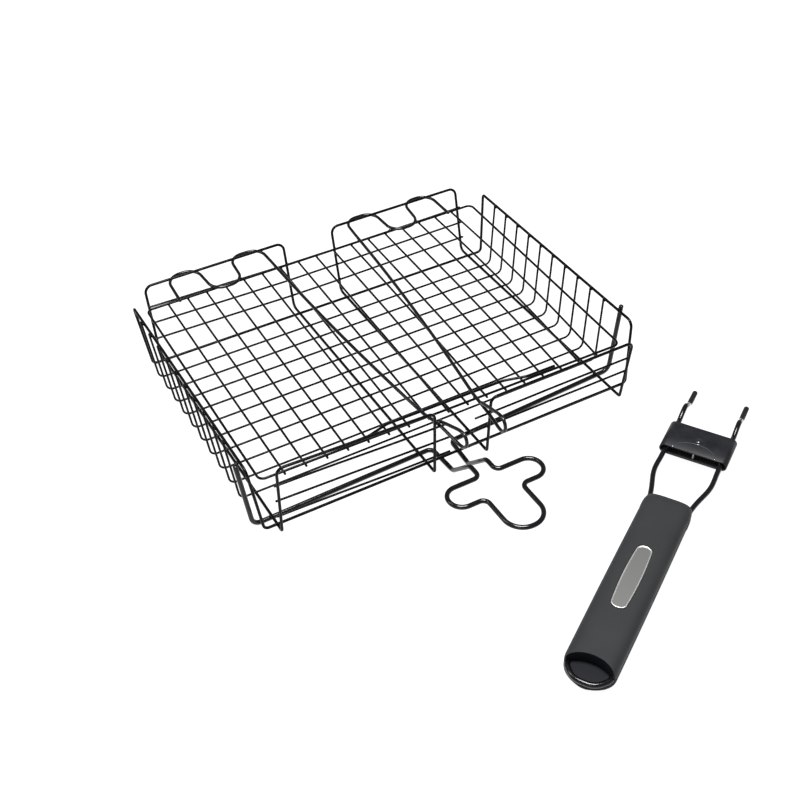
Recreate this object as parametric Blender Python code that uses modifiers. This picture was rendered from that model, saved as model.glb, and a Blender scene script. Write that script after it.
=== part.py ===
"""Grill basket: a wire tray, a hinged wire lid and a detachable grip handle.

Units in the constants are millimetres; the model itself is in metres, +Z up.
The object stands on z = 0.  +Y points from the handle side to the hinge side.
"""
import bpy
import bmesh
import math
from mathutils import Vector, Matrix

MM = 0.001

# ------------------------------------------------------------ driving sizes
ORIGIN_X, ORIGIN_Y = 30.777, -106.05      # whole object's box centre, in tray coordinates
TILT_DEG = 1.116            # the tray leans back onto its rear bends
TRAY_LIFT = 7.058            # tray floor plane above the surface at y = 0

GAP = 0.3                   # weld gap between neighbouring solids
R_LOOP = 1.3                # tray frame loops
R_THIN = 1.0                # grid wires
R_CRADLE = 2.1              # heavy carrying wire
R_FRAME = 1.1               # lid frame
R_BAR = 1.2                 # lid front bar
R_HOOK = 1.5                # lid spring hooks
R_HANDLE = 2.2              # handle wire

# tray side loop (floor front and back edges, both side frames)
SIDE_X0, SIDE_X1 = 178.0, 184.4     # half width at the floor and at the rail
SIDE_YB0, SIDE_YB1 = 121.4, 129.8   # rear edge, rear rail end
SIDE_YF0, SIDE_YF1 = -121.4, -113.2 # front edge, front rail end
SIDE_Z1 = 61.0
SIDE_Z0 = 0.5
# front and back section loops
SEC_XO, SEC_XI = 165.4, 25.8
SEC_Z0 = -3.1
FRONT_FOOT = (-127.0, -130.6, -130.6, -130.6)    # y of the front bends, same order as FRONT_TOP
SEC_YB0, SEC_YB1, SEC_ZB = 138.6, 152.8, 62.8
# front rails as bent: (y, z) at left outer, left inner, right inner, right outer
FRONT_TOP = ((-128.8, 66.6), (-130.6, 62.3), (-134.4, 58.6), (-139.2, 63.4))
# floor grid
FLOOR_N, FLOOR_PITCH, FLOOR_Y1, FLOOR_LEAN = 10, 19.9, 100.1, 3.7
FLOOR_Z = -0.5
FLOOR_ZTOP = 63.8
FLOOR_L0, FLOOR_L1 = -180.2, -187.1     # left bend and end: outside the left rail
FLOOR_R0, FLOOR_R1 = 175.7, 181.75      # right bend and end: inside the right rail
WALL_LEFT = (0.22, 0.47, 0.71)       # front wall wires, share of the leg height
WALL_RIGHT = (0.20, 0.44, 0.68)
BACK_Z = (11.4, 27.2, 43.0)
END_OVER = 1.7              # how far a grid wire passes the wire it is welded to
INNER_OVER = (16.0, 15.6, 12.4)     # catch ends beside the front gap: lower, middle, upper
# carrying wire
CRADLE_X0 = -1.9
CRADLE_Z = SEC_Z0 - R_LOOP - R_CRADLE - GAP
CRADLE_YL, CRADLE_YR = -105.8, -92.0
NECK_HALF0, NECK_HALF1 = 9.6, 7.8
NECK_Y = -133.5
LOOP_Z, LOOP_Y0 = 20.0, -160.0
# lid
LID_X, LID_YB, LID_YF = 172.6, 131.4, -109.3
LID_SKEW = 5.0              # the right end of the front rail sits this much further forward
LID_ZF, LID_ZB = 42.05, 52.6
LID_N, LID_PITCH = 17, 18.8
LID_BOW = 3.4               # the last wires on the right are bowed outwards
HOOK_REACH, HOOK_VALLEY = 164.3, 125.8
HOOK_LEGS = (142.0, 109.5, 78.5, 46.0)
# handle
HANDLE_X, HANDLE_Y = -35.0, -362.3   # grip end, in level tray coordinates
HEADING = 56.5                       # degrees from +Y towards +X
GRIP_L, GRIP_W, GRIP_H = 181.5, 41.0, 22.0
LEG_IN, LEG_OUT = 16.8, 24.0
COLLAR_S0, COLLAR_L, COLLAR_W, COLLAR_T, SHEET = 243.4, 32.0, 58.6, 10.0, 1.2
BADGE_S, BADGE_L, BADGE_W = 88.0, 67.0, 15.0

# ------------------------------------------------------------ clean start
for ob in list(bpy.data.objects):
    bpy.data.objects.remove(ob, do_unlink=True)

coll = bpy.data.collections.new("grill_basket")
cutters = bpy.data.collections.new("cutters")
bpy.context.scene.collection.children.link(coll)
bpy.context.scene.collection.children.link(cutters)


def material(name, rgb, rough, metal):
    m = bpy.data.materials.new(name)
    m.use_nodes = True
    b = m.node_tree.nodes["Principled BSDF"]
    b.inputs["Base Color"].default_value = (*rgb, 1.0)
    b.inputs["Roughness"].default_value = rough
    b.inputs["Metallic"].default_value = metal
    return m


def empty(name, parent=None, loc=(0, 0, 0), rot=(0, 0, 0)):
    e = bpy.data.objects.new(name, None)
    e.empty_display_size = 0.02
    coll.objects.link(e)
    e.parent = parent
    e.location = Vector(loc) * MM
    e.rotation_euler = rot
    return e


# ------------------------------------------------------------ path helpers
def rounded(points, closed=False, n90=4):
    """Corner points (x, y, z, radius) to a polyline with filleted corners."""
    out = []
    n = len(points)
    for i, p in enumerate(points):
        c = Vector(p[:3])
        r = p[3] if len(p) > 3 else 0.0
        if (not closed and i in (0, n - 1)) or r <= 0:
            out.append(c)
            continue
        a = (Vector(points[i - 1][:3]) - c).normalized()
        b = (Vector(points[(i + 1) % n][:3]) - c).normalized()
        ang = a.angle(b)
        turn = math.pi - ang
        if turn < math.radians(3):
            out.append(c)
            continue
        t = r * math.tan(turn / 2)
        mid = (a + b).normalized() * (r / math.sin(ang / 2))
        centre = c + mid
        u = (c + a * t) - centre
        v = (c + b * t) - centre
        k = max(2, int(math.ceil(turn / (math.pi / 2) * n90)))
        for j in range(k + 1):
            f = j / k
            w = (u * math.sin((1 - f) * turn) + v * math.sin(f * turn)) / math.sin(turn) if turn < math.pi - 0.01 else u.lerp(v, f)
            out.append(centre + w.normalized() * r)
    return out


def smooth(points, step):
    """Catmull-Rom curve through the points, sampled about every `step` mm."""
    P = [Vector(p) for p in points]
    P = [P[0] * 2 - P[1]] + P + [P[-1] * 2 - P[-2]]
    out = []
    for i in range(1, len(P) - 2):
        n = max(1, int(round((P[i + 1] - P[i]).length / step)))
        for j in range(n):
            t = j / n
            out.append(0.5 * ((2 * P[i]) + (-P[i - 1] + P[i + 1]) * t
                              + (2 * P[i - 1] - 5 * P[i] + 4 * P[i + 1] - P[i + 2]) * t * t
                              + (-P[i - 1] + 3 * P[i] - 3 * P[i + 1] + P[i + 2]) * t ** 3))
    out.append(P[-2])
    return out


def wire(name, pts, radius, mat, parent, shift=(0, 0, 0), closed=False, where=None):
    cu = bpy.data.curves.new(name, "CURVE")
    cu.dimensions = "3D"
    cu.bevel_depth = radius * MM
    cu.bevel_resolution = 2
    cu.use_fill_caps = not closed
    sp = cu.splines.new("POLY")
    sp.points.add(len(pts) - 1)
    for k, p in enumerate(pts):
        q = (Vector(p) - Vector(shift)) * MM
        sp.points[k].co = (*q, 1.0)
        sp.points[k].tilt = math.radians(22.5)
    sp.use_cyclic_u = closed
    sp.use_smooth = True
    ob = bpy.data.objects.new(name, cu)
    cu.materials.append(material(name, *mat))
    (where or coll).objects.link(ob)
    ob.parent = parent
    return ob


BLACK = ((0.018, 0.018, 0.020), 0.32, 0.0)
DARK_STEEL = ((0.022, 0.022, 0.024), 0.36, 0.0)
CHARCOAL = ((0.046, 0.049, 0.051), 0.62, 0.0)
SATIN = ((0.62, 0.62, 0.60), 0.34, 1.0)

# ------------------------------------------------------------ frames
root = empty("object_frame", None, (-ORIGIN_X, -ORIGIN_Y, 0))
tray = empty("tray_frame", root, (0, 0, TRAY_LIFT), (-math.radians(TILT_DEG), 0, 0))
HINGE = (0.0, SEC_YB1, SEC_ZB)
lid = empty("lid_axis", tray, HINGE)
handle = empty("handle_frame", root, (HANDLE_X, HANDLE_Y, 0), (0, 0, -math.radians(HEADING)))
collar = empty("collar_frame", handle, (0, COLLAR_S0 + COLLAR_L / 2, 0))

# ------------------------------------------------------------ tray
r0, r1, r2 = 4.5, 7.0, 2.2
side = []
for s in (1, -1):
    ring = [(s * SIDE_X0, SIDE_YB0, SIDE_Z0, r0), (s * SIDE_X1, SIDE_YB1, SIDE_Z1, r2),
            (s * SIDE_X1, SIDE_YF1, SIDE_Z1, r1), (s * SIDE_X0, SIDE_YF0, SIDE_Z0, r0)]
    side += ring if s == 1 else ring[::-1]
wire("tray_side_loop", rounded(side, True), R_LOOP, BLACK, tray, closed=True)


def section(xa, xb, a, b):
    return [(xa, SEC_YB1, SEC_ZB, 7), (xa, SEC_YB0, SEC_Z0, 6.5), (xa, FRONT_FOOT[a], SEC_Z0, 2.2),
            (xa, *FRONT_TOP[a], 6), (xb, *FRONT_TOP[b], 6), (xb, FRONT_FOOT[b], SEC_Z0, 2.2),
            (xb, SEC_YB0, SEC_Z0, 6.5), (xb, SEC_YB1, SEC_ZB, 7)]


wire("tray_left_loop", rounded(section(-SEC_XO, -SEC_XI, 0, 1), True),
     R_LOOP, BLACK, tray, closed=True)
wire("tray_right_loop", rounded(section(SEC_XI, SEC_XO, 2, 3), True),
     R_LOOP, BLACK, tray, closed=True)

for i in range(FLOOR_N):
    y = FLOOR_Y1 - FLOOR_PITCH * i
    yt = y + FLOOR_LEAN
    pts = [(FLOOR_L1, yt, FLOOR_ZTOP), (FLOOR_L0, y, FLOOR_Z, 6.5), (FLOOR_R0, y, FLOOR_Z, 6), (FLOOR_R1, yt, FLOOR_ZTOP)]
    wire("tray_floor_wire_%02d" % (i + 1), rounded(pts, n90=3), R_THIN, BLACK, tray)

STEP_IN = R_LOOP + R_THIN + GAP + 0.1
for tag, z in zip(("lower", "middle", "upper"), BACK_Z):
    y = SEC_YB0 + (z - SEC_Z0) / (SEC_ZB - SEC_Z0) * (SEC_YB1 - SEC_YB0) - STEP_IN - 0.4
    xe = SEC_XO + END_OVER
    wire("tray_back_wire_" + tag, [(-xe, y, z + 2.2), (-30.0, y, z - 0.6), (30.0, y, z - 0.6), (xe, y, z + 0.6)], R_THIN, BLACK, tray)


def leg_point(i, frac):
    y, z = FRONT_TOP[i]
    return (FRONT_FOOT[i] + (y - FRONT_FOOT[i]) * frac + STEP_IN, SEC_Z0 + (z - SEC_Z0) * frac)


for label, xa, xb, ta, tb in (("left", -SEC_XO, -SEC_XI, 0, 1),
                              ("right", SEC_XO, SEC_XI, 3, 2)):
    for tag, fr, over in zip(("lower", "middle", "upper"), WALL_LEFT if label == "left" else WALL_RIGHT, INNER_OVER):
        a, b = leg_point(ta, fr), leg_point(tb, fr)
        s = -1 if label == "left" else 1
        k = (xb - s * over - xa) / (xb - xa)
        end = (xb - s * over, a[0] + (b[0] - a[0]) * k, a[1] + (b[1] - a[1]) * k)
        wire("tray_front_%s_wire_%s" % (label, tag), [(xa + s * END_OVER, a[0], a[1]), end], R_THIN, BLACK, tray)


def cradle_path():
    xr = SIDE_X1 + R_LOOP + R_CRADLE + GAP
    half = [(NECK_HALF0, -101.2, CRADLE_Z, 5.5), (NECK_HALF1, NECK_Y, CRADLE_Z, 9),
            (NECK_HALF1, LOOP_Y0, LOOP_Z, 9), (NECK_HALF1, -174.6, LOOP_Z, 5.5),
            (43.6, -174.6, LOOP_Z, 11.5), (43.6, -198.1, LOOP_Z, 11.5),
            (16.9, -198.1, LOOP_Z, 6), (16.9, -241.1, LOOP_Z, 16.4)]
    left = [(-xr, -100.8, 57.5), (-181.4, CRADLE_YL, CRADLE_Z, 8)]
    left += [(CRADLE_X0 - x, y, z, r) for x, y, z, r in half]
    right = [(xr, -92.6, 63.6), (181.8, CRADLE_YR, CRADLE_Z, 8)]
    right += [(CRADLE_X0 + x, y, z, r) for x, y, z, r in half]
    return rounded(left + right[::-1], n90=4)


wire("tray_cradle_wire", cradle_path(), R_CRADLE, BLACK, tray)

# ------------------------------------------------------------ lid
SLOPE = (LID_ZB - LID_ZF) / (LID_YB - LID_YF)


def on_lid(x, y, dz=0.0, r=None):
    z = LID_ZF + SLOPE * (y - LID_YF) + dz
    return (x, y, z) if r is None else (x, y, z, r)


def front_y(x):
    """Front rail line of the lid."""
    return LID_YF - LID_SKEW * (x + LID_X) / (2 * LID_X)


wire("lid_frame", rounded([on_lid(LID_X - 1.5, LID_YB, 0, 5.5), on_lid(LID_X, front_y(LID_X), 0, 6),
                           on_lid(-LID_X, LID_YF, 0, 5.5), on_lid(-LID_X, LID_YB, 0, 5)], True),
     R_FRAME, BLACK, lid, HINGE, closed=True)
DROP = -(R_FRAME + R_THIN + GAP)
for i in range(LID_N):
    x = LID_PITCH * (i - (LID_N - 1) / 2) - 0.9
    side_bow = LID_BOW * (i / (LID_N - 1)) ** 3
    run = front_y(x) - LID_YB
    pts = [on_lid(x + side_bow * 4 * f * (1 - f) - 1.6 * (i / (LID_N - 1)) * f, LID_YB + 1.0 + run * f, DROP) for f in (0, 0.2, 0.4, 0.6, 0.8)]
    pts.append(on_lid(x - 1.6 * i / (LID_N - 1), front_y(x) - 1.2, DROP))
    wire("lid_wire_%02d" % (i + 1), pts, R_THIN, BLACK, lid, HINGE)

bar_low = DROP + R_THIN + R_BAR + GAP
bar_high = R_FRAME + R_BAR + GAP
wire("lid_front_bar", rounded([on_lid(-104, front_y(-104) + 0.6, bar_high), on_lid(-76, front_y(-76) + 0.6, bar_high, 14),
                               on_lid(-55, LID_YF + 6.6, bar_low, 14), on_lid(57, LID_YF + 4.6, bar_low, 14),
                               on_lid(76, front_y(76) + 0.6, bar_high, 14), on_lid(104, front_y(104) + 0.6, bar_high)], n90=6),
     R_BAR, BLACK, lid, HINGE)


def bow(y):
    return 45.0 - 0.0322 * (150.0 - y) - 0.000185 * (150.0 - y) ** 2


def hook_path(s, z_catch, y_catch, end):
    dz = max(bar_low + R_BAR, R_FRAME) + R_HOOK + GAP
    a, b, c, d = HOOK_LEGS
    back = [on_lid(a, LID_YB - 5.0, dz), on_lid(a - 1.5, HOOK_REACH, dz, 14), on_lid(b + 2.0, HOOK_REACH, dz, 13),
            on_lid(b - 1.0, HOOK_VALLEY, dz, 13), on_lid(c + 1.0, HOOK_VALLEY, dz, 13),
            on_lid(c - 1.5, HOOK_REACH, dz, 13), on_lid(d, HOOK_REACH, dz, 13)]
    pts = rounded([(s * p[0],) + p[1:] for p in back] + [(s * bow(140), 140, on_lid(0, 140, dz)[2])], n90=4)
    for y in (110, 80, 50, 20, -10, -40, -70, -98):
        pts.append(Vector(on_lid(s * bow(y), y, dz)))
    x0 = bow(-126)
    tail = [on_lid(s * bow(-110), -110, dz + 0.2), (s * x0, y_catch, z_catch),
            (s * 20.4, y_catch - 15, z_catch - 0.8 if z_catch > 47 else z_catch + 0.2),
            (s * 18.9, -158.0, 46.4), (s * 18.3, -164.6, 48.6), (s * 18.1, -167.6, 54.4),
            (s * 18.2, -165.2, 60.2), (s * 18.6, -159.0, 61.6), (s * 19.6, -146.5, 57.6), end]
    pts += smooth(tail, 5.0)
    return pts


wire("lid_hook_wire_left", hook_path(-1, 48.2, -129.5, (-21.2, -131.0, 52.0)), R_HOOK, BLACK, lid, HINGE)
wire("lid_hook_wire_right", hook_path(1, 46.2, -131.5, (21.2, -127.0, 50.2)), R_HOOK, BLACK, lid, HINGE)

# ------------------------------------------------------------ handle (x lateral, y along, z up)
WIRE_H = GRIP_H / 2


def leg_half(s):
    pts = [(s * 23.3, 327.0, 8.0), (s * 23.3, 318.0, 8.0), (s * 23.4, 311.0, 8.3), (s * 23.6, 305.0, 11.2),
           (s * 23.8, 298.0, 15.6), (s * 23.9, 291.0, 14.6), (s * 24.0, 284.0, 11.6), (s * LEG_OUT, 278.0, WIRE_H),
           (s * LEG_OUT, 236.0, WIRE_H), (s * (LEG_OUT + 0.3), 225.0, WIRE_H), (s * (LEG_OUT + 0.2), 217.0, WIRE_H),
           (s * (LEG_OUT - 0.9), 209.5, WIRE_H), (s * (LEG_OUT - 2.8), 202.0, WIRE_H), (s * (LEG_OUT - 4.7), 194.5, WIRE_H),
           (s * (LEG_IN + 1.0), 187.0, WIRE_H), (s * (LEG_IN + 0.2), 180.5, WIRE_H), (s * LEG_IN, 174.0, WIRE_H)]
    return [Vector(p) for p in pts]


def handle_path():
    a, b = leg_half(-1), leg_half(1)
    mid = rounded([(-LEG_IN, 170.0, WIRE_H), (-LEG_IN, -1.5, WIRE_H, 7), (-8.5, -11.2, WIRE_H, 14),
                   (8.5, -11.2, WIRE_H, 14), (LEG_IN, -1.5, WIRE_H, 7), (LEG_IN, 170.0, WIRE_H)], n90=6)
    return a + mid + b[::-1]


hw = handle_path()
wire("handle_wire", hw, R_HANDLE, BLACK, handle)


def to_mesh(ob, name, where, mats=None):
    """Freeze a curve object as a welded mesh object with the same place."""
    bpy.context.view_layer.update()
    dg = bpy.context.evaluated_depsgraph_get()
    me = bpy.data.meshes.new_from_object(ob.evaluated_get(dg))
    bm = bmesh.new()
    bm.from_mesh(me)
    bmesh.ops.remove_doubles(bm, verts=bm.verts, dist=0.00001)
    bmesh.ops.recalc_face_normals(bm, faces=bm.faces)
    bm.to_mesh(me)
    bm.free()
    new = bpy.data.objects.new(name, me)
    where.objects.link(new)
    new.parent = ob.parent
    new.matrix_world = ob.matrix_world.copy()
    data = ob.data
    bpy.data.objects.remove(ob, do_unlink=True)
    if mats:
        me.materials.clear()
        me.materials.append(material(name, *mats))
    return new


def hide_cutter(ob):
    ob.hide_render = True
    ob.display_type = "WIRE"


def cut(ob, tool, op="DIFFERENCE"):
    m = ob.modifiers.new("cut", "BOOLEAN")
    m.operation = op
    m.solver = "EXACT"
    m.object = tool


channel = wire("channel_path", [p for p in hw if p.y < 200], R_HANDLE + GAP, BLACK, handle, where=cutters)
channel = to_mesh(channel, "channel_cutter", cutters)
hide_cutter(channel)


def grip_half_width(s):
    """Plan outline of the grip: rounded tongue at the end, tapered shoulders at the top."""
    a = GRIP_W / 2
    if s < 4.0:
        t = (4.0 - s) / 15.0
        return a * math.sqrt(max(0.0, 1 - t * t)) * 0.985
    if s > GRIP_L - 16:
        t = (s - (GRIP_L - 16)) / 16
        return a - 2.2 * t ** 4
    return a * (0.985 + 0.015 * math.sin(math.pi * (s - 4) / (GRIP_L - 20)))


def grip_half_height(s):
    h = GRIP_H / 2
    if s < 4.0:
        t = (4.0 - s) / 15.0
        return h * (1 - 0.30 * t * t)
    if s > GRIP_L - 9:
        t = (s - (GRIP_L - 9)) / 9
        return h - 2.2 * t * t
    return h


def shell(name, upper):
    """Half of the grip, above or below the parting plane, as a loft along its length."""
    bm = bmesh.new()
    top = [14.0, 92.0, GRIP_L - 16, GRIP_L - 10.5, GRIP_L - 6, GRIP_L - 2.5, GRIP_L]
    stations = [-10.0, -9.0, -7.0, -4.0, 0.0, 4.0] + top
    if upper:
        stations = [0.0, 4.0] + top
    rows = []
    n = 12
    sgn = 1 if upper else -1
    for s in stations:
        a, h = grip_half_width(s), grip_half_height(s)
        row = []
        for j in range(n + 1):
            t = math.pi * j / n
            cx, sz = math.cos(t), math.sin(t)
            e = 2 / 3.6
            x = a * math.copysign(abs(cx) ** e, cx)
            z = WIRE_H + sgn * max((h - 0.0) * (abs(sz) ** e), 0.15)
            if not upper and z < 0.3:
                z = 0.0
            row.append(bm.verts.new(Vector((x, s, z)) * MM))
        rows.append(row)
    for r, q in zip(rows, rows[1:]):
        for j in range(n):
            bm.faces.new((r[j], r[j + 1], q[j + 1], q[j]))
        bm.faces.new((r[0], q[0], q[n], r[n]))
    bm.faces.new(rows[0])
    bm.faces.new(rows[-1][::-1])
    bmesh.ops.recalc_face_normals(bm, faces=bm.faces)
    me = bpy.data.meshes.new(name)
    bm.to_mesh(me)
    bm.free()
    me.materials.append(material(name, *CHARCOAL))
    me.shade_smooth()
    me.set_sharp_from_angle(angle=math.radians(35))
    ob = bpy.data.objects.new(name, me)
    coll.objects.link(ob)
    ob.parent = handle
    cut(ob, channel)
    return ob


upper = shell("grip_upper_shell", True)
lower = shell("grip_lower_shell", False)


def outline_prism(name, pts, z0, z1, parent, where, mats=None):
    """A flat outline in x, y extruded from z0 to z1."""
    cu = bpy.data.curves.new(name, "CURVE")
    cu.dimensions = "2D"
    cu.fill_mode = "BOTH"
    cu.extrude = (z1 - z0) / 2 * MM
    for ring in pts:
        sp = cu.splines.new("POLY")
        sp.points.add(len(ring) - 1)
        for k, p in enumerate(ring):
            sp.points[k].co = (p[0] * MM, p[1] * MM, 0, 1)
        sp.use_cyclic_u = True
    ob = bpy.data.objects.new(name + "_outline", cu)
    where.objects.link(ob)
    ob.parent = parent
    ob.location = (0, 0, (z0 + z1) / 2 * MM)
    return to_mesh(ob, name, where, mats)


def arc(cx, cy, r, a0, a1, n):
    return [(cx + r * math.cos(math.radians(a0 + (a1 - a0) * i / n)),
             cy + r * math.sin(math.radians(a0 + (a1 - a0) * i / n))) for i in range(n + 1)]


# thumb scoop at the end of the upper shell
scoop = outline_prism("scoop_cutter", [arc(0, -22.0, 28.5, 0, 360, 40)[:-1]], 5, 30, handle, cutters)
hide_cutter(scoop)
cut(upper, scoop)


def badge_ring(grow):
    """Barrel outline: long sides bulge, ends are rounded."""
    hl, hw_, he = BADGE_L / 2 + grow, BADGE_W / 2 + grow, 6.2 + grow
    pts = []
    n = 8
    for i in range(n + 1):
        t = -1 + 2 * i / n
        pts.append((hw_ - (hw_ - he) * t * t, BADGE_S + t * (hl - 4.6)))
    pts += [(he * math.cos(math.radians(q)), BADGE_S + hl - 4.6 + 4.6 * math.sin(math.radians(q))) for q in (20, 40, 60, 75, 90, 105, 120, 140, 160)]
    pts += [(-x, 2 * BADGE_S - y) for x, y in pts]
    return pts


pocket = outline_prism("badge_pocket_cutter", [badge_ring(0.3)], GRIP_H - 0.7, GRIP_H + 3, handle, cutters)
hide_cutter(pocket)
cut(upper, pocket)
outline_prism("grip_badge", [badge_ring(0.0)], GRIP_H - 0.4, GRIP_H + 0.5, handle, coll, SATIN)

# ------------------------------------------------------------ sliding collar
def stadium(w, t, n=6):
    r = t / 2
    c = w / 2 - r
    return arc(c, 0, r, -90, 90, n) + arc(-c, 0, r, 90, 270, n)


col = bpy.data.curves.new("slide_collar", "CURVE")
col.dimensions = "2D"
col.fill_mode = "BOTH"
col.extrude = COLLAR_L / 2 * MM
for ring in (stadium(COLLAR_W, COLLAR_T), stadium(COLLAR_W - 2 * SHEET, COLLAR_T - 2 * SHEET)):
    sp = col.splines.new("POLY")
    sp.points.add(len(ring) - 1)
    for k, p in enumerate(ring):
        sp.points[k].co = (p[0] * MM, p[1] * MM, 0, 1)
    sp.use_cyclic_u = True
cob = bpy.data.objects.new("slide_collar_curve", col)
coll.objects.link(cob)
cob.parent = collar
cob.rotation_euler = (math.radians(90), 0, 0)
cob.location = (0, 0, WIRE_H * MM)
cob = to_mesh(cob, "slide_collar", coll, DARK_STEEL)

RIVET_Y = -0.6      # rivet axis, along the handle from the collar's middle


def turned(name, profile, parent, loc, mats, where):
    """Solid of revolution about z: (radius, z) profile, outer side top to bottom."""
    me = bpy.data.meshes.new(name)
    bm = bmesh.new()
    vs = [bm.verts.new((r * MM, 0, z * MM)) for r, z in profile]
    for a, b in zip(vs, vs[1:]):
        bm.edges.new((a, b))
    if profile[0][0] > 0:
        bm.edges.new((vs[-1], vs[0]))
    bm.to_mesh(me)
    bm.free()
    ob = bpy.data.objects.new(name, me)
    where.objects.link(ob)
    ob.parent = parent
    ob.location = Vector(loc) * MM
    m = ob.modifiers.new("turn", "SCREW")
    m.axis = "Z"
    m.angle = 2 * math.pi
    m.steps = m.render_steps = 16
    m.screw_offset = 0
    m.use_merge_vertices = True
    m.merge_threshold = 0.00001
    m.use_smooth_shade = True
    if mats:
        me.materials.append(material(name, *mats))
    return ob


ht = COLLAR_T / 2
hole = turned("rivet_hole_cutter", [(0, 12), (2.2, 12), (2.2, -12), (0, -12)], collar, (0, RIVET_Y, WIRE_H), None, cutters)
hide_cutter(hole)
cut(cob, hole)
turned("collar_rivet", [(0, ht + 2.2), (1.6, ht + 2.0), (3.2, ht + 1.3), (4.3, ht + GAP + 0.0), (1.8, ht + GAP),
                        (1.8, -ht - GAP), (3.6, -ht - GAP), (3.2, -ht - 1.2), (0, -ht - 1.4)],
       collar, (0, RIVET_Y, WIRE_H), DARK_STEEL, coll)
hi = ht - SHEET - GAP
turned("collar_spacer", [(3.1, hi), (3.1, -hi), (2.1, -hi), (2.1, hi)], collar, (0, RIVET_Y, WIRE_H), DARK_STEEL, coll)

bpy.context.view_layer.update()
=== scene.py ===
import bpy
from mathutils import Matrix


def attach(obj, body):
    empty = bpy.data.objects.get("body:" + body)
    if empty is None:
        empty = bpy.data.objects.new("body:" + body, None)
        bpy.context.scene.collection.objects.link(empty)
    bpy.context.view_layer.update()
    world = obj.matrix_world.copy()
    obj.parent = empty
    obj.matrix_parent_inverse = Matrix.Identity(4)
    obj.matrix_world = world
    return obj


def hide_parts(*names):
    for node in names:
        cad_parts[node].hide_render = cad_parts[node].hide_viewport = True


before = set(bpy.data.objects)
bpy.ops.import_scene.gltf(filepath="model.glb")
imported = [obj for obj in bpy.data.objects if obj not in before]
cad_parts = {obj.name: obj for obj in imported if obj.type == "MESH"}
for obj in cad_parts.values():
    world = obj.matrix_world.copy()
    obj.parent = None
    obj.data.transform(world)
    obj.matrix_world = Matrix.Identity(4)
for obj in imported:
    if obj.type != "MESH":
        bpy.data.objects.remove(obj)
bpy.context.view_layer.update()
import bpy
import bmesh
import math
from mathutils import Vector, Matrix

MM = 0.001

# ------------------------------------------------------------ sizes (mm), as in the CAD source
ORIGIN_X, ORIGIN_Y = 30.777, -106.05
TILT_DEG, TRAY_LIFT = 1.116, 7.058
GAP = 0.3
R_LOOP, R_THIN, R_CRADLE, R_FRAME, R_BAR, R_HOOK, R_HANDLE = 1.3, 1.0, 2.1, 1.1, 1.2, 1.5, 2.2
SIDE_X0, SIDE_X1 = 178.0, 184.4
SIDE_YB0, SIDE_YB1 = 121.4, 129.8
SIDE_YF0, SIDE_YF1 = -121.4, -113.2
SIDE_Z1, SIDE_Z0 = 61.0, 0.5
SEC_XO, SEC_XI, SEC_Z0 = 165.4, 25.8, -3.1
FRONT_FOOT = (-127.0, -130.6, -130.6, -130.6)
SEC_YB0, SEC_YB1, SEC_ZB = 138.6, 152.8, 62.8
FRONT_TOP = ((-128.8, 66.6), (-130.6, 62.3), (-134.4, 58.6), (-139.2, 63.4))
FLOOR_N, FLOOR_PITCH, FLOOR_Y1, FLOOR_LEAN = 10, 19.9, 100.1, 3.7
FLOOR_Z, FLOOR_ZTOP = -0.5, 63.8
FLOOR_L0, FLOOR_L1, FLOOR_R0, FLOOR_R1 = -180.2, -187.1, 175.7, 181.75
WALL_LEFT, WALL_RIGHT = (0.22, 0.47, 0.71), (0.20, 0.44, 0.68)
BACK_Z = (11.4, 27.2, 43.0)
END_OVER, INNER_OVER = 1.7, (16.0, 15.6, 12.4)
CRADLE_X0 = -1.9
CRADLE_Z = SEC_Z0 - R_LOOP - R_CRADLE - GAP
CRADLE_YL, CRADLE_YR = -105.8, -92.0
NECK_HALF0, NECK_HALF1, NECK_Y = 9.6, 7.8, -133.5
LOOP_Z, LOOP_Y0 = 20.0, -160.0
LID_X, LID_YB, LID_YF, LID_SKEW = 172.6, 131.4, -109.3, 5.0
LID_ZF, LID_ZB = 42.05, 52.6
LID_N, LID_PITCH, LID_BOW = 17, 18.8, 3.4
HOOK_REACH, HOOK_VALLEY = 164.3, 125.8
HOOK_LEGS = (142.0, 109.5, 78.5, 46.0)
HANDLE_X, HANDLE_Y, HEADING = -35.0, -362.3, 56.5
GRIP_L, GRIP_W, GRIP_H = 181.5, 41.0, 22.0
LEG_IN, LEG_OUT = 16.8, 24.0
COLLAR_S0, COLLAR_L, COLLAR_W, COLLAR_T, SHEET = 243.4, 32.0, 58.6, 10.0, 1.2
BADGE_S, BADGE_L, BADGE_W = 88.0, 67.0, 15.0
WIRE_H = GRIP_H / 2
RIVET_Y = -0.6

ROOT = Matrix.Translation(Vector((-ORIGIN_X, -ORIGIN_Y, 0)))
TRAY = ROOT @ Matrix.Translation(Vector((0, 0, TRAY_LIFT))) @ Matrix.Rotation(-math.radians(TILT_DEG), 4, "X")
HANDLE = ROOT @ Matrix.Translation(Vector((HANDLE_X, HANDLE_Y, 0))) @ Matrix.Rotation(-math.radians(HEADING), 4, "Z")
COLLAR = HANDLE @ Matrix.Translation(Vector((0, COLLAR_S0 + COLLAR_L / 2, 0)))

coll = bpy.data.collections.new("looks")
bpy.context.scene.collection.children.link(coll)


# ------------------------------------------------------------ materials
def principled(name, rgb, rough, metal=0.0):
    m = bpy.data.materials.new(name)
    m.use_nodes = True
    b = m.node_tree.nodes["Principled BSDF"]
    b.inputs["Base Color"].default_value = (*rgb, 1.0)
    b.inputs["Roughness"].default_value = rough
    b.inputs["Metallic"].default_value = metal
    return m, m.node_tree, b


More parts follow.
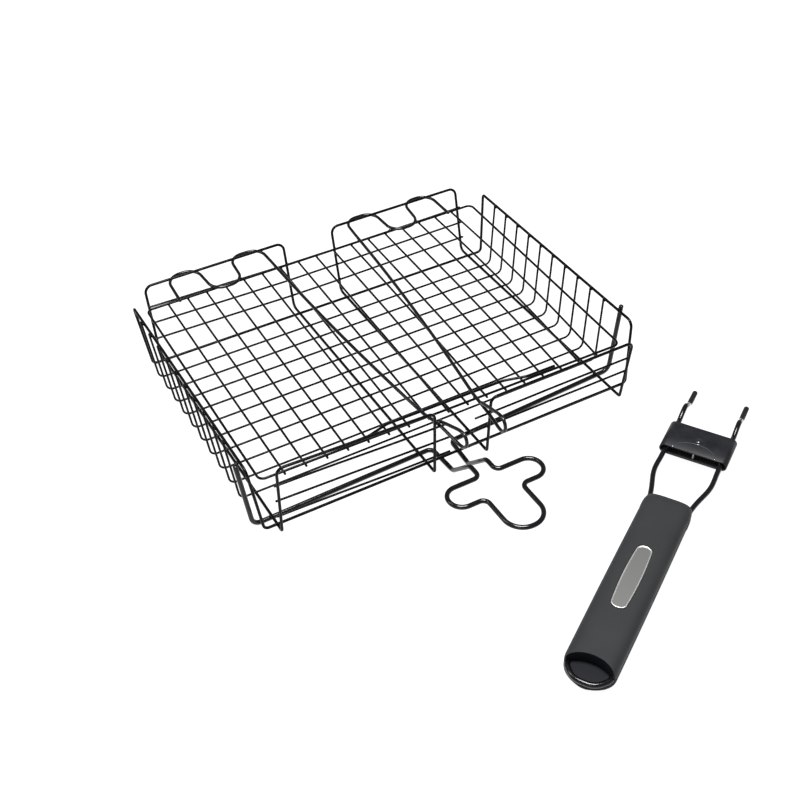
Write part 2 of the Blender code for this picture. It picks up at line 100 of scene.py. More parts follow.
def noise(nt, scale, detail=3.0, rough=0.5):
    tc = nt.nodes.new("ShaderNodeTexCoord")
    n = nt.nodes.new("ShaderNodeTexNoise")
    n.inputs["Scale"].default_value = scale
    n.inputs["Detail"].default_value = detail
    n.inputs["Roughness"].default_value = rough
    nt.links.new(tc.outputs["Object"], n.inputs["Vector"])
    return n


def ramp(nt, src, stops):
    r = nt.nodes.new("ShaderNodeValToRGB")
    e = r.color_ramp.elements
    e[0].position, e[0].color = stops[0][0], (*stops[0][1], 1)
    e[1].position, e[1].color = stops[-1][0], (*stops[-1][1], 1)
    for p, c in stops[1:-1]:
        q = e.new(p)
        q.color = (*c, 1)
    nt.links.new(src, r.inputs["Fac"])
    return r


def bump(nt, b, src, strength, dist):
    n = nt.nodes.new("ShaderNodeBump")
    n.inputs["Strength"].default_value = strength
    n.inputs["Distance"].default_value = dist
    nt.links.new(src, n.inputs["Height"])
    nt.links.new(n.outputs["Normal"], b.inputs["Normal"])


def coated(name, rgb, rough, spread=0.03, bumps=0.02, scale=420.0, spec=0.25):
    """Black non-stick coating: a soft sheen that varies a little, with a faint orange-peel surface."""
    m, nt, b = principled(name, rgb, rough)
    n = noise(nt, scale, 2.0)
    r = ramp(nt, n.outputs["Fac"], ((0.3, (rough - spread,) * 3), (0.7, (rough + spread,) * 3)))
    nt.links.new(r.outputs["Color"], b.inputs["Roughness"])
    c = noise(nt, 90.0, 3.0)
    cr = ramp(nt, c.outputs["Fac"], ((0.35, tuple(v * 0.75 for v in rgb)), (0.7, tuple(v * 1.35 for v in rgb))))
    nt.links.new(cr.outputs["Color"], b.inputs["Base Color"])
    bump(nt, b, n.outputs["Fac"], bumps, 0.0002)
    b.inputs["Specular IOR Level"].default_value = spec
    return m


WIRE = coated("coated_wire", (0.0016, 0.0016, 0.0021), 0.20, spec=0.11)
HEAVY = coated("coated_wire_heavy", (0.0016, 0.0017, 0.0024), 0.15, spec=0.36)
HANDLE_MAT = coated("handle_coat", (0.0020, 0.0021, 0.0030), 0.18, 0.04, 0.05, 300.0, spec=0.34)
TIP_MAT = coated("prong_tip_coat", (0.0045, 0.0045, 0.006), 0.45, 0.08, 0.3, 300.0, spec=0.25)
SHEET_MAT = coated("collar_coat", (0.0078, 0.0082, 0.0100), 0.40, 0.04, 0.03, 700.0, spec=0.14)
WELD = coated("weld_coat", (0.0018, 0.0018, 0.0023), 0.28, 0.05, 0.15, 500.0, spec=0.12)

BARE, bnt, bb = principled("bare_neck", (0.5, 0.5, 0.5), 0.25, 1.0)
RIVET_MAT, rnt, rb = principled("rivet_coat", (0.02, 0.021, 0.023), 0.16, 0.5)

GRIP, gnt, gb = principled("grip", (0.016, 0.017, 0.0182), 0.52)
gn = noise(gnt, 1400.0, 2.0)
gbig = noise(gnt, 35.0, 3.0)
gr = ramp(gnt, gbig.outputs["Fac"], ((0.3, (0.0155, 0.0162, 0.0172)), (0.7, (0.0180, 0.0191, 0.0204))))
gnt.links.new(gr.outputs["Color"], gb.inputs["Base Color"])
bump(gnt, gb, gn.outputs["Fac"], 0.22, 0.0002)
gb.inputs["Specular IOR Level"].default_value = 0.12
# painted shade: the lower grip shell is coloured darker than the upper shell, to paint the shadow along its side
# below the parting line
GRIP_LOW_PAINTED_SHADE, lnt, lb = principled("grip_low", (0.0060, 0.0063, 0.0070), 0.60)
lb.inputs["Specular IOR Level"].default_value = 0.08

BADGE, dnt, db = principled("badge", (0.21, 0.21, 0.205), 0.38, 0.9)
RIM, mnt, mb = principled("badge_rim", (0.46, 0.46, 0.445), 0.46, 1.0)
DARK, knt, kb = principled("inner_dark", (0.008, 0.008, 0.010), 0.7)
# painted shade: the scoop recess and the channel faces between the grip shells get this darker colour, to paint the
# shade that falls in them
SCOOP_PAINTED_SHADE, snt, sb = principled("scoop", (0.0040, 0.0044, 0.0062), 0.42)
sb.inputs["Specular IOR Level"].default_value = 0.16


# ------------------------------------------------------------ path helpers (as in the CAD source)
def rounded(points, closed=False, n90=10):
    out = []
    n = len(points)
    for i, p in enumerate(points):
        c = Vector(p[:3])
        r = p[3] if len(p) > 3 else 0.0
        if (not closed and i in (0, n - 1)) or r <= 0:
            out.append(c)
            continue
        a = (Vector(points[i - 1][:3]) - c).normalized()
        b = (Vector(points[(i + 1) % n][:3]) - c).normalized()
        ang = a.angle(b)
        turn = math.pi - ang
        if turn < math.radians(3):
            out.append(c)
            continue
        t = r * math.tan(turn / 2)
        centre = c + (a + b).normalized() * (r / math.sin(ang / 2))
        u = (c + a * t) - centre
        v = (c + b * t) - centre
        k = max(3, int(math.ceil(turn / (math.pi / 2) * n90)))
        for j in range(k + 1):
            f = j / k
            w = (u * math.sin((1 - f) * turn) + v * math.sin(f * turn)) / math.sin(turn) if turn < math.pi - 0.01 else u.lerp(v, f)
            out.append(centre + w.normalized() * r)
    return out


def smooth(points, step):
    P = [Vector(p) for p in points]
    P = [P[0] * 2 - P[1]] + P + [P[-1] * 2 - P[-2]]
    out = []
    for i in range(1, len(P) - 2):
        n = max(1, int(round((P[i + 1] - P[i]).length / step)))
        for j in range(n):
            t = j / n
            out.append(0.5 * ((2 * P[i]) + (-P[i - 1] + P[i + 1]) * t
                              + (2 * P[i - 1] - 5 * P[i] + 4 * P[i + 1] - P[i + 2]) * t * t
                              + (-P[i - 1] + 3 * P[i] - 3 * P[i + 1] + P[i + 2]) * t ** 3))
    out.append(P[-2])
    return out


def split(pts, closed, longest=14.0):
    """Cut long straight runs, so that the surface can waver a little."""
    out = []
    m = len(pts)
    for i in range(m if closed else m - 1):
        a, b = pts[i], pts[(i + 1) % m]
        k = max(1, int(math.ceil((b - a).length / longest)))
        for j in range(k):
            out.append(a.lerp(b, j / k))
    if not closed:
        out.append(pts[-1])
    return out


def add_tube(bm, pts, radius, closed=False, sides=16, mat=0, cap=True, radii=None, index=None):
    """A round tube with parallel-transported rings and domed ends."""
    pts = [Vector(p) for p in pts]
    keep = [pts[0]]
    rad = [radii[0] if radii else radius]
    for k, p in enumerate(pts[1:]):
        if (p - keep[-1]).length > 0.02:
            keep.append(p)
            rad.append(radii[k + 1] if radii else radius)
    if closed and (keep[0] - keep[-1]).length < 0.02:
        keep.pop()
        rad.pop()
    pts = keep
    n = len(pts)
    tang = []
    for i in range(n):
        if closed:
            t = (pts[(i + 1) % n] - pts[i]).normalized() + (pts[i] - pts[i - 1]).normalized()
        elif i == 0:
            t = pts[1] - pts[0]
        elif i == n - 1:
            t = pts[-1] - pts[-2]
        else:
            t = (pts[i + 1] - pts[i]).normalized() + (pts[i] - pts[i - 1]).normalized()
        tang.append(t.normalized())
    up = Vector((0, 0, 1)) if abs(tang[0].z) < 0.9 else Vector((1, 0, 0))
    u = (up - tang[0] * up.dot(tang[0])).normalized()
    frames = [u]
    for i in range(1, n):
        u = frames[-1]
        q = tang[i - 1].rotation_difference(tang[i])
        u = q @ u
        u = (u - tang[i] * u.dot(tang[i])).normalized()
        frames.append(u)
    if closed:
        q = tang[-1].rotation_difference(tang[0])
        back = q @ frames[-1]
        back = (back - tang[0] * back.dot(tang[0])).normalized()
        ang = math.atan2(tang[0].dot(back.cross(frames[0])), back.dot(frames[0]))
        frames = [Matrix.Rotation(ang * i / n, 3, tang[i]) @ frames[i] for i in range(n)]
    rings = []
    for i in range(n):
        v = tang[i].cross(frames[i])
        prev_t = (pts[i] - pts[i - 1]).normalized() if (i or closed) else tang[i]
        stretch = 1.0 / max(0.7, tang[i].dot(prev_t))
        r = rad[i] * (1 + (stretch - 1) * 0.5)
        rings.append([bm.verts.new((pts[i] + (frames[i] * math.cos(a) + v * math.sin(a)) * r) * MM)
                      for a in (2 * math.pi * k / sides for k in range(sides))])
    seq = list(zip(rings, rings[1:]))
    if closed:
        seq.append((rings[-1], rings[0]))
    for a, b in seq:
        for k in range(sides):
            f = bm.faces.new((a[k], a[(k + 1) % sides], b[(k + 1) % sides], b[k]))
            f.material_index = mat
            f.smooth = True
    if cap and not closed:
        for ring, p, t, r in ((rings[0], pts[0], -tang[0], rad[0]), (rings[-1], pts[-1], tang[-1], rad[-1])):
            flip = ring is rings[0]
            last = ring
            for q in (0.35, 0.7):
                nxt = [bm.verts.new(((Vector(v.co) / MM - p) * math.sqrt(1 - q * q) + p + t * r * q * 0.55) * MM) for v in ring]
                for k in range(sides):
                    quad = (last[k], last[(k + 1) % sides], nxt[(k + 1) % sides], nxt[k])
                    f = bm.faces.new(quad[::-1] if flip else quad)
                    f.material_index = mat
                    f.smooth = True
                last = nxt
            tip = bm.verts.new((p + t * r * 0.55) * MM)
            for k in range(sides):
                tri = (last[k], last[(k + 1) % sides], tip)
                f = bm.faces.new(tri[::-1] if flip else tri)
                f.material_index = mat
                f.smooth = True


def add_blob(bm, p, r, mat=0, squash=(1, 1, 1)):
    """A small weld nugget."""
    g = bmesh.ops.create_icosphere(bm, subdivisions=2, radius=r * MM, matrix=Matrix.Translation(Vector(p) * MM) @ Matrix.Diagonal((*squash, 1)))
    for v in g["verts"]:
        for f in v.link_faces:
            f.smooth = True
            f.material_index = mat


def finish_mesh(bm, name, mats, world, body, nodes, sharp=None, fix=True):
    if fix:
        bmesh.ops.recalc_face_normals(bm, faces=bm.faces)
    me = bpy.data.meshes.new(name)
    bm.to_mesh(me)
    bm.free()
    for m in mats:
        me.materials.append(m)
    if sharp:
        me.shade_smooth()
        me.set_sharp_from_angle(angle=math.radians(sharp))
    me.transform(Matrix.Diagonal((MM, MM, MM, 1)) @ world @ Matrix.Diagonal((1 / MM, 1 / MM, 1 / MM, 1)))
    ob = bpy.data.objects.new(name, me)
    coll.objects.link(ob)
    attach(ob, body)
    if nodes:
        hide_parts(*nodes)
    return ob


def waver(pts, amount, seed):
    """Drawn wire is never quite straight: a slow wander across the run, nothing at the ends."""
    n = len(pts)
    out = []
    for i, p in enumerate(pts):
        t = i / max(1, n - 1)
        w = math.sin(math.pi * t)
        out.append(p + Vector((math.sin(seed * 1.7 + t * 5.1) * 0.6, math.sin(seed * 2.9 + t * 6.3) * 0.6,
                               math.sin(seed * 4.1 + t * 4.7))) * amount * w)
    return out


def wire_piece(name, pts, radius, mat=None, body="tray", closed=False, sides=16, blobs=(), wave=0.0, seed=0):
    bm = bmesh.new()
    pts = split([Vector(p) for p in pts], closed)
    if wave and not closed:
        pts = waver(pts, wave, seed)
    add_tube(bm, pts, radius, closed, sides)
    for b in blobs:
        add_blob(bm, b[0], b[1], 1, b[2] if len(b) > 2 else (1, 1, 1))
    return finish_mesh(bm, name + "_look", [mat or WIRE, WELD], TRAY, body, [name])


# ------------------------------------------------------------ tray
side = []
for s in (1, -1):
    ring = [(s * SIDE_X0, SIDE_YB0, SIDE_Z0, 4.5), (s * SIDE_X1, SIDE_YB1, SIDE_Z1, 2.2),
            (s * SIDE_X1, SIDE_YF1, SIDE_Z1, 7.0), (s * SIDE_X0, SIDE_YF0, SIDE_Z0, 4.5)]
    side += ring if s == 1 else ring[::-1]
wire_piece("tray_side_loop", rounded(side, True), R_LOOP, closed=True)


def section(xa, xb, a, b):
    return [(xa, SEC_YB1, SEC_ZB, 7), (xa, SEC_YB0, SEC_Z0, 6.5), (xa, FRONT_FOOT[a], SEC_Z0, 2.2),
            (xa, *FRONT_TOP[a], 6), (xb, *FRONT_TOP[b], 6), (xb, FRONT_FOOT[b], SEC_Z0, 2.2),
            (xb, SEC_YB0, SEC_Z0, 6.5), (xb, SEC_YB1, SEC_ZB, 7)]


wire_piece("tray_left_loop", rounded(section(-SEC_XO, -SEC_XI, 0, 1), True), R_LOOP, closed=True)
wire_piece("tray_right_loop", rounded(section(SEC_XI, SEC_XO, 2, 3), True), R_LOOP, closed=True)

for i in range(FLOOR_N):
    y = FLOOR_Y1 - FLOOR_PITCH * i
    yt = y + FLOOR_LEAN
    pts = [(FLOOR_L1, yt, FLOOR_ZTOP), (FLOOR_L0, y, FLOOR_Z, 6.5), (FLOOR_R0, y, FLOOR_Z, 6), (FLOOR_R1, yt, FLOOR_ZTOP)]
    zc = SIDE_Z1 - 0.2
    blobs = [((-185.75, yt - 0.1, zc), 1.15, (1.1, 0.9, 1.2)), ((183.05, yt - 0.1, zc), 1.15, (1.1, 0.9, 1.2))]
    for x in (-SEC_XO, -SEC_XI, SEC_XI, SEC_XO):
        blobs.append(((x, y, (FLOOR_Z + SEC_Z0) / 2), 0.95, (1, 1, 0.9)))
    wire_piece("tray_floor_wire_%02d" % (i + 1), rounded(pts), R_THIN, sides=12, blobs=blobs, wave=0.25, seed=i)

STEP_IN = R_LOOP + R_THIN + GAP + 0.1
for tag, z in zip(("lower", "middle", "upper"), BACK_Z):
    y = SEC_YB0 + (z - SEC_Z0) / (SEC_ZB - SEC_Z0) * (SEC_YB1 - SEC_YB0) - STEP_IN - 0.4
    xe = SEC_XO + END_OVER
    blobs = [((x, y + 1.2, z + h), 1.15) for x, h in ((-SEC_XO, 2.2), (-SEC_XI, -0.6), (SEC_XI, -0.6), (SEC_XO, 0.6))]
    wire_piece("tray_back_wire_" + tag, [(-xe, y, z + 2.2), (-30.0, y, z - 0.6), (30.0, y, z - 0.6), (xe, y, z + 0.6)], R_THIN, sides=12, blobs=blobs, wave=0.2, seed=z)


def leg_point(i, frac):
    y, z = FRONT_TOP[i]
    return (FRONT_FOOT[i] + (y - FRONT_FOOT[i]) * frac + STEP_IN, SEC_Z0 + (z - SEC_Z0) * frac)


for label, xa, xb, ta, tb in (("left", -SEC_XO, -SEC_XI, 0, 1),
                              ("right", SEC_XO, SEC_XI, 3, 2)):
    for tag, fr, over in zip(("lower", "middle", "upper"), WALL_LEFT if label == "left" else WALL_RIGHT, INNER_OVER):
        a, b = leg_point(ta, fr), leg_point(tb, fr)
        s = -1 if label == "left" else 1
        k = (xb - s * over - xa) / (xb - xa)
        end = (xb - s * over, a[0] + (b[0] - a[0]) * k, a[1] + (b[1] - a[1]) * k)
        blobs = [((xa, a[0] - 1.1, a[1]), 1.0), ((xb, b[0] - 1.1, b[1]), 1.0)]
        wire_piece("tray_front_%s_wire_%s" % (label, tag), [(xa + s * END_OVER, a[0], a[1]), end], R_THIN,
                   sides=12, blobs=blobs, wave=0.2, seed=fr * 9)


def cradle_path():
    xr = SIDE_X1 + R_LOOP + R_CRADLE + GAP
    half = [(NECK_HALF0, -101.2, CRADLE_Z, 5.5), (NECK_HALF1, NECK_Y, CRADLE_Z, 9),
            (NECK_HALF1, LOOP_Y0, LOOP_Z, 9), (NECK_HALF1, -174.6, LOOP_Z, 5.5),
            (43.6, -174.6, LOOP_Z, 11.5), (43.6, -198.1, LOOP_Z, 11.5),
            (16.9, -198.1, LOOP_Z, 6), (16.9, -241.1, LOOP_Z, 16.4)]
    left = [(-xr, -100.8, 57.5), (-181.4, CRADLE_YL, CRADLE_Z, 8)]
    left += [(CRADLE_X0 - x, y, z, r) for x, y, z, r in half]
    right = [(xr, -92.6, 63.6), (181.8, CRADLE_YR, CRADLE_Z, 8)]
    right += [(CRADLE_X0 + x, y, z, r) for x, y, z, r in half]
    return rounded(left + right[::-1], n90=14)


bl = [((x, CRADLE_YL + (CRADLE_YR - CRADLE_YL) * (x + 181) / 362, SEC_Z0 - R_LOOP + 0.1), 1.3, (1.1, 1.1, 0.7))
      for x in (-SEC_XO, -SEC_XI, SEC_XI, SEC_XO)]
bl += [((-(SIDE_X1 + R_LOOP + 0.1), -100.6, 60.4), 1.5, (0.7, 1.1, 1.0)), ((SIDE_X1 + R_LOOP + 0.1, -92.8, 60.8), 1.5, (0.7, 1.1, 1.0))]
wire_piece("tray_cradle_wire", cradle_path(), R_CRADLE, mat=HEAVY, sides=24, blobs=bl)

# ------------------------------------------------------------ lid
SLOPE = (LID_ZB - LID_ZF) / (LID_YB - LID_YF)


def on_lid(x, y, dz=0.0, r=None):
    z = LID_ZF + SLOPE * (y - LID_YF) + dz
    return (x, y, z) if r is None else (x, y, z, r)


def front_y(x):
    return LID_YF - LID_SKEW * (x + LID_X) / (2 * LID_X)


wire_piece("lid_frame", rounded([on_lid(LID_X - 1.5, LID_YB, 0, 5.5), on_lid(LID_X, front_y(LID_X), 0, 6),
                                 on_lid(-LID_X, LID_YF, 0, 5.5), on_lid(-LID_X, LID_YB, 0, 5)], True),
           R_FRAME, body="lid", closed=True)
DROP = -(R_FRAME + R_THIN + GAP)
bar_low = DROP + R_THIN + R_BAR + GAP
bar_high = R_FRAME + R_BAR + GAP
for i in range(LID_N):
    x = LID_PITCH * (i - (LID_N - 1) / 2) - 0.9
    side_bow = LID_BOW * (i / (LID_N - 1)) ** 3
    run = front_y(x) - LID_YB
    pts = [on_lid(x + side_bow * 4 * f * (1 - f) - 1.6 * (i / (LID_N - 1)) * f, LID_YB + 1.0 + run * f, DROP) for f in [q / 16 for q in range(15)]]
    xe = x - 1.6 * i / (LID_N - 1)
    pts.append(on_lid(xe, front_y(x) - 1.2, DROP))
    blobs = [(on_lid(x, LID_YB, DROP + 0.9), 1.0, (1, 1.2, 0.9)), (on_lid(xe, front_y(x), DROP + 0.9), 1.0, (1, 1.2, 0.9))]
    wire_piece("lid_wire_%02d" % (i + 1), [Vector(p) for p in pts], R_THIN, body="lid", sides=12, blobs=blobs, wave=0.22, seed=i + 31)

wire_piece("lid_front_bar", rounded([on_lid(-104, front_y(-104) + 0.6, bar_high), on_lid(-76, front_y(-76) + 0.6, bar_high, 14),
                                     on_lid(-55, LID_YF + 6.6, bar_low, 14), on_lid(57, LID_YF + 4.6, bar_low, 14),
                                     on_lid(76, front_y(76) + 0.6, bar_high, 14), on_lid(104, front_y(104) + 0.6, bar_high)], n90=12),
           R_BAR, body="lid")


def bow(y):
    return 45.0 - 0.0322 * (150.0 - y) - 0.000185 * (150.0 - y) ** 2


def hook_path(s, z_catch, y_catch, end):
    dz = max(bar_low + R_BAR, R_FRAME) + R_HOOK + GAP
    a, b, c, d = HOOK_LEGS
    back = [on_lid(a, LID_YB - 5.0, dz), on_lid(a - 1.5, HOOK_REACH, dz, 14), on_lid(b + 2.0, HOOK_REACH, dz, 13),
            on_lid(b - 1.0, HOOK_VALLEY, dz, 13), on_lid(c + 1.0, HOOK_VALLEY, dz, 13),
            on_lid(c - 1.5, HOOK_REACH, dz, 13), on_lid(d, HOOK_REACH, dz, 13)]
    pts = rounded([(s * p[0],) + p[1:] for p in back] + [(s * bow(140), 140, on_lid(0, 140, dz)[2])], n90=12)
    for y in range(110, -99, -13):
        pts.append(Vector(on_lid(s * bow(y), y, dz)))
    x0 = bow(-126)
    tail = [on_lid(s * bow(-110), -110, dz + 0.2), (s * x0, y_catch, z_catch),
            (s * 20.4, y_catch - 15, z_catch - 0.8 if z_catch > 47 else z_catch + 0.2),
            (s * 18.9, -158.0, 46.4), (s * 18.3, -164.6, 48.6), (s * 18.1, -167.6, 54.4),
            (s * 18.2, -165.2, 60.2), (s * 18.6, -159.0, 61.6), (s * 19.6, -146.5, 57.6), end]
    pts += smooth(tail, 1.6)
    return pts


for s, nm, args in ((-1, "left", (48.2, -129.5, (-21.2, -131.0, 52.0))), (1, "right", (46.2, -131.5, (21.2, -127.0, 50.2)))):
    dz = max(bar_low + R_BAR, R_FRAME) + R_HOOK + GAP
    blobs = []
    for xq, yq in ((HOOK_LEGS[0] - 0.1, LID_YB), (HOOK_LEGS[1] - 0.2, LID_YB), (HOOK_LEGS[2], LID_YB), (bow(LID_YB), LID_YB), (bow(-112), front_y(s * 34) + 0.4)):
        blobs.append((on_lid(s * xq, yq, R_FRAME + 0.3), 1.25, (1.0, 1.3, 0.8)))
    wire_piece("lid_hook_wire_" + nm, hook_path(s, *args), R_HOOK, mat=HEAVY, body="lid", sides=20, blobs=blobs)


# ------------------------------------------------------------ handle
def leg_half(s):
    pts = [(s * 23.3, 327.0, 8.0), (s * 23.3, 318.0, 8.0), (s * 23.4, 311.0, 8.3), (s * 23.6, 305.0, 11.2),
           (s * 23.8, 298.0, 15.6), (s * 23.9, 291.0, 14.6), (s * 24.0, 284.0, 11.6), (s * LEG_OUT, 278.0, WIRE_H),
           (s * LEG_OUT, 236.0, WIRE_H), (s * (LEG_OUT + 0.3), 225.0, WIRE_H), (s * (LEG_OUT + 0.2), 217.0, WIRE_H),
           (s * (LEG_OUT - 0.9), 209.5, WIRE_H), (s * (LEG_OUT - 2.8), 202.0, WIRE_H), (s * (LEG_OUT - 4.7), 194.5, WIRE_H),
           (s * (LEG_IN + 1.0), 187.0, WIRE_H), (s * (LEG_IN + 0.2), 180.5, WIRE_H), (s * LEG_IN, 174.0, WIRE_H)]
    return [Vector(p) for p in pts]


def handle_radius(y):
    """The prong is pinched flat behind its tip, and the tip is a little thicker."""
    if y > 311:
        return R_HANDLE + 0.15
    if 302.5 < y <= 311:
        return R_HANDLE - 0.35 * math.sin(math.pi * (y - 302.5) / 8.5)
    return R_HANDLE


bm = bmesh.new()
a = smooth(leg_half(-1), 1.5)
b = smooth(leg_half(1), 1.5)
mid = rounded([(-LEG_IN, 170.0, WIRE_H), (-LEG_IN, -1.5, WIRE_H, 7), (-8.5, -11.2, WIRE_H, 14),
               (8.5, -11.2, WIRE_H, 14), (LEG_IN, -1.5, WIRE_H, 7), (LEG_IN, 170.0, WIRE_H)], n90=14)
hw = split(a + mid + b[::-1], False, 6.0)
add_tube(bm, hw, R_HANDLE, sides=24, radii=[handle_radius(p.y) for p in hw])
for f in bm.faces:
    yc = f.calc_center_median().y / MM
    f.material_index = 1 if yc > 310.5 else (2 if 305.2 < yc < 309.0 else 0)
finish_mesh(bm, "handle_wire_look", [HANDLE_MAT, TIP_MAT, BARE], HANDLE, "handle", ["handle_wire"])


def grip_half_width(s):
    a = GRIP_W / 2
    if s < 4.0:
        t = (4.0 - s) / 15.0
        return a * math.sqrt(max(0.0, 1 - t * t)) * 0.985
    if s > GRIP_L - 16:
        t = (s - (GRIP_L - 16)) / 16
        return a - 2.2 * t ** 4
    return a * (0.985 + 0.015 * math.sin(math.pi * (s - 4) / (GRIP_L - 20)))


def grip_half_height(s):
    h = GRIP_H / 2
    if s < 4.0:
        t = (4.0 - s) / 15.0
        return h * (1 - 0.30 * t * t)
    if s > GRIP_L - 9:
        t = (s - (GRIP_L - 9)) / 9
        return h - 2.2 * t * t
    return h


def to_mesh(ob, name):
    bpy.context.view_layer.update()
    dg = bpy.context.evaluated_depsgraph_get()
    me = bpy.data.meshes.new_from_object(ob.evaluated_get(dg))
    me.name = name
    bpy.data.objects.remove(ob, do_unlink=True)
    return me


def tool_object(name, bm):
    me = bpy.data.meshes.new(name)
    bmesh.ops.recalc_face_normals(bm, faces=bm.faces)
    bm.to_mesh(me)
    bm.free()
    ob = bpy.data.objects.new(name, me)
    coll.objects.link(ob)
    return ob


def prism(name, ring, z0, z1):
    bm = bmesh.new()
    lo_ = [bm.verts.new((x * MM, y * MM, z0 * MM)) for x, y in ring]
    hi_ = [bm.verts.new((x * MM, y * MM, z1 * MM)) for x, y in ring]
    n = len(ring)
    for k in range(n):
        bm.faces.new((lo_[k], lo_[(k + 1) % n], hi_[(k + 1) % n], hi_[k]))
    bm.faces.new(lo_[::-1])
    bm.faces.new(hi_)
    return tool_object(name, bm)


def arc(cx, cy, r, a0, a1, n):
    return [(cx + r * math.cos(math.radians(a0 + (a1 - a0) * i / n)),
             cy + r * math.sin(math.radians(a0 + (a1 - a0) * i / n))) for i in range(n + 1)]


def badge_ring(grow, n=24):
    hl, hw_, he = BADGE_L / 2 + grow, BADGE_W / 2 + grow, 6.2 + grow
    pts = []
    for i in range(n + 1):
        t = -1 + 2 * i / n
        pts.append((hw_ - (hw_ - he) * t * t, BADGE_S + t * (hl - 4.6)))
    pts += [(he * math.cos(math.radians(q)), BADGE_S + hl - 4.6 + 4.6 * math.sin(math.radians(q))) for q in range(10, 180, 10)]
    pts += [(-x, 2 * BADGE_S - y) for x, y in pts]
    out = []
    for p in pts:
        if not out or math.hypot(p[0] - out[-1][0], p[1] - out[-1][1]) > 0.02:
            out.append(p)
    return out


def shell(name, upper):
    bm = bmesh.new()
    base = [4.0, 6.0, 9.0, 14.0] + [14.0 + (GRIP_L - 30.0) * q / 24 for q in range(1, 25)] + [GRIP_L - 16 + 14.5 * q / 12 for q in range(1, 13)] + [GRIP_L - 0.7, GRIP_L - 0.2, GRIP_L]
    ends = [-10.6, -10.2, -9.4, -8.2, -6.8, -5.0, -3.0, -1.0, 0.0, 2.0]
    stations = ([0.0, 2.0] if upper else ends) + base
    n = 48
    sgn = 1 if upper else -1
    rows = []
    for s in stations:
        a_, h_ = grip_half_width(s), grip_half_height(s)
        if s > GRIP_L - 1.0:
            q = (s - (GRIP_L - 1.0))
            a_ -= (1 - math.sqrt(max(0.0, 1 - q * q))) * 1.0
            h_ -= (1 - math.sqrt(max(0.0, 1 - q * q))) * 1.0
        row = []
        for j in range(n + 1):
            t = math.pi * j / n
            cx, sz = math.cos(t), math.sin(t)
            e = 2 / 3.6
            x = a_ * math.copysign(abs(cx) ** e, cx)
            zz = h_ * (abs(sz) ** e)
            edge = 0.35 if (j in (0, n)) else 0.0
            x -= math.copysign(0.35, x) if j in (0, n) else 0.0
            z = WIRE_H + sgn * max(zz, 0.12)
            if not upper:
                z = max(z, 0.0)
            row.append(bm.verts.new(Vector((x, s, z)) * MM))
        rows.append(row)
    for r, q in zip(rows, rows[1:]):
        for j in range(n):
            bm.faces.new((r[j], r[j + 1], q[j + 1], q[j]))
        bm.faces.new((r[0], q[0], q[n], r[n]))
    bm.faces.new(rows[0])
    bm.faces.new(rows[-1][::-1])
    ob = tool_object(name, bm)
    return ob


def boolean(ob, tool):
    m = ob.modifiers.new("cut", "BOOLEAN")
    m.operation = "DIFFERENCE"
    m.solver = "EXACT"
    m.object = tool


bmc = bmesh.new()
add_tube(bmc, [p for p in hw if p.y < 205], R_HANDLE + 0.22, sides=24)
channel = tool_object("channel_tool", bmc)
scoop_tool = prism("scoop_tool", arc(0, -22.0, 28.5, 0, 360, 72)[:-1], 5, 30)
pocket_tool = prism("pocket_tool", badge_ring(0.55), GRIP_H - 0.9, GRIP_H + 3)
tools = [channel, scoop_tool, pocket_tool]

for upper, nm in ((True, "grip_upper_shell"), (False, "grip_lower_shell")):
    ob = shell(nm + "_raw", upper)
    boolean(ob, channel)
    if upper:
        boolean(ob, scoop_tool)
        boolean(ob, pocket_tool)
    me = to_mesh(ob, nm + "_look")
    bm = bmesh.new()
    bm.from_mesh(me)
    bmesh.ops.remove_doubles(bm, verts=bm.verts, dist=0.000004)
    for f in bm.faces:
        c = f.calc_center_median() / MM
        # painted shade: the scoop walls and the lower shell's parting and channel faces take the darker second
        # material
        painted_shade_face = (not upper and c.z > WIRE_H - 1.2 and abs(f.normal.z) > 0.6) or (upper and c.y < 8 and abs(f.normal.z) < 0.4 and abs(c.x) < 18 and c.z < GRIP_H - 0.5)
        f.material_index = 1 if painted_shade_face else 0
    me2 = bpy.data.meshes.new(nm + "_look")
    bm.to_mesh(me2)
    bm.free()
    me2.materials.append(GRIP if upper else GRIP_LOW_PAINTED_SHADE)
    me2.materials.append(SCOOP_PAINTED_SHADE)
    me2.shade_smooth()
    me2.set_sharp_from_angle(angle=math.radians(32))
    me2.transform(Matrix.Diagonal((MM, MM, MM, 1)) @ HANDLE @ Matrix.Diagonal((1 / MM, 1 / MM, 1 / MM, 1)))
    o2 = bpy.data.objects.new(nm + "_look", me2)
    coll.objects.link(o2)
    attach(o2, "handle")
    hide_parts(nm)
for t in tools:
    bpy.data.objects.remove(t, do_unlink=True)

# badge: a plate with a raised bright rim around a blank field
bm = bmesh.new()
levels = [(0.0, GRIP_H - 0.6), (0.0, GRIP_H + 0.1), (-0.30, GRIP_H + 0.42), (-0.75, GRIP_H + 0.50), (-1.05, GRIP_H + 0.34), (-1.35, GRIP_H + 0.12)]
rings = []
for grow, z in levels:
    rings.append([bm.verts.new((x * MM, y * MM, z * MM)) for x, y in [(px * (1 + grow / 7.5), BADGE_S + (py - BADGE_S) * (1 + grow / 33.5)) for px, py in badge_ring(0.0)]])
n = len(rings[0])
for li, (r, q) in enumerate(zip(rings, rings[1:])):
    for k in range(n):
        f = bm.faces.new((r[k], r[(k + 1) % n], q[(k + 1) % n], q[k]))
        f.material_index = 1
        f.smooth = True
bm.faces.new(rings[0][::-1])
f = bm.faces.new(rings[-1])
f.material_index = 0
finish_mesh(bm, "grip_badge_look", [BADGE, RIM], HANDLE, "handle", ["grip_badge"])

# ------------------------------------------------------------ sliding collar
def stadium(w, t, n=14):
    r = t / 2
    c = w / 2 - r
    return arc(c, 0, r, -90, 90, n) + arc(-c, 0, r, 90, 270, n)


